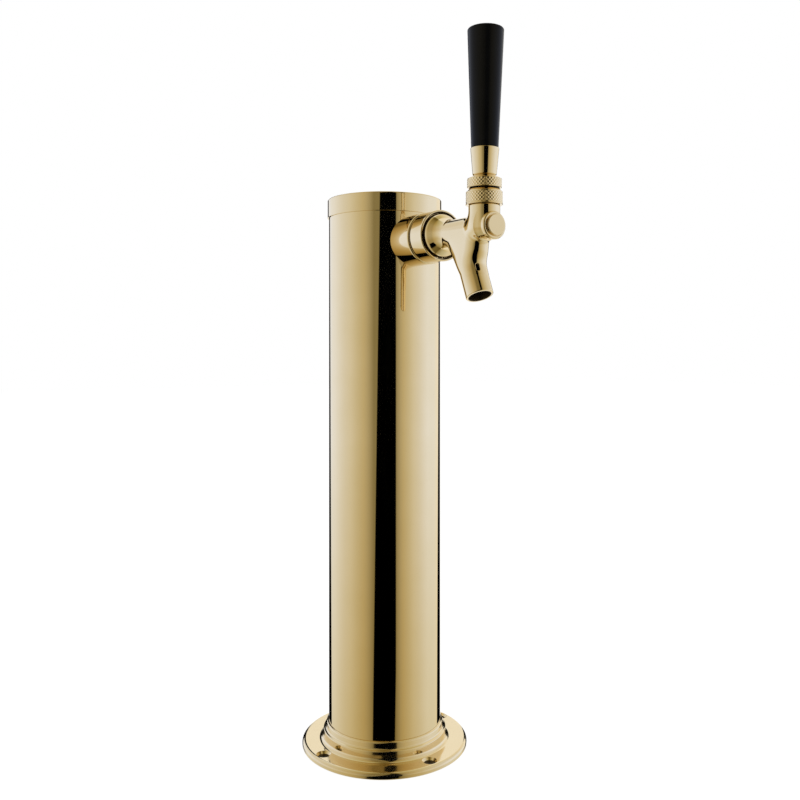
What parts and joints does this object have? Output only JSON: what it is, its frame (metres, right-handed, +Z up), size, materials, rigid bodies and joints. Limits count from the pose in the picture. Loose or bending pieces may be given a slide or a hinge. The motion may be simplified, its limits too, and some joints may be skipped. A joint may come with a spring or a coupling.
{
  "type": "beer tower dispenser",
  "caption": "Upright polished gold draft column on a round bolt-down flange, with a lever faucet, leaning spout and tapered black handle.",
  "frame": {"origin": "centre of the base flange's mounting face, on the column's axis", "axes": "+Z up the column, -Y towards the faucet, +X to the right seen from the front"},
  "size_m": [0.112, 0.1796, 0.4521],
  "materials": {
    "polished_gold": "mirror polished, gold plated",
    "plated_steel": "plated",
    "raw_brass": "machined",
    "black_handle": "satin gloss",
    "black_rubber": "matt",
    "white_nylon": "satin"
  },
  "bodies": {
    "tower": {"base_flange": "polished_gold", "base_gasket": "black_rubber", "column_tube": "polished_gold", "shank_rosette": "polished_gold", "shank": "plated_steel", "snap_ring": "plated_steel", "coupling_nut": "polished_gold", "coupling_washer": "black_rubber", "saddle_spacer": "plated_steel", "shank_lock_nut": "plated_steel", "tail_washer": "black_rubber", "tailpiece": "plated_steel", "tail_nut": "plated_steel", "faucet_body": "polished_gold", "ball_washer": "white_nylon", "friction_washer": "white_nylon", "bonnet": "polished_gold"},
    "cap": {"top_cap": "polished_gold"},
    "lever": {"lever": "plated_steel", "lever_collar": "polished_gold", "handle_ferrule": "polished_gold", "handle": "black_handle", "handle_insert": "raw_brass"},
    "valve": {"valve_shaft": "plated_steel", "seat_washer": "black_rubber", "shaft_nut": "plated_steel"}
  },
  "joints": [
    {"name": "lever_pivot", "type": "hinge", "parent": "tower", "child": "lever", "pos_m": [0, -0.1116, 0.3489], "axis": [1, 0, 0], "range_deg": [0, 20]},
    {"name": "valve_slide", "type": "slide", "parent": "tower", "child": "valve", "axis": [0, 1, 0], "range_m": [0, 0.00366]},
    {"name": "cap_lift", "type": "slide", "parent": "tower", "child": "cap", "axis": [0, 0, 1], "range_m": [0, 0.02]}
  ],
  "couplings": [
    {"joint": "valve_slide", "follows": "lever_pivot", "m_per_rad": 0.01048}
  ]
}
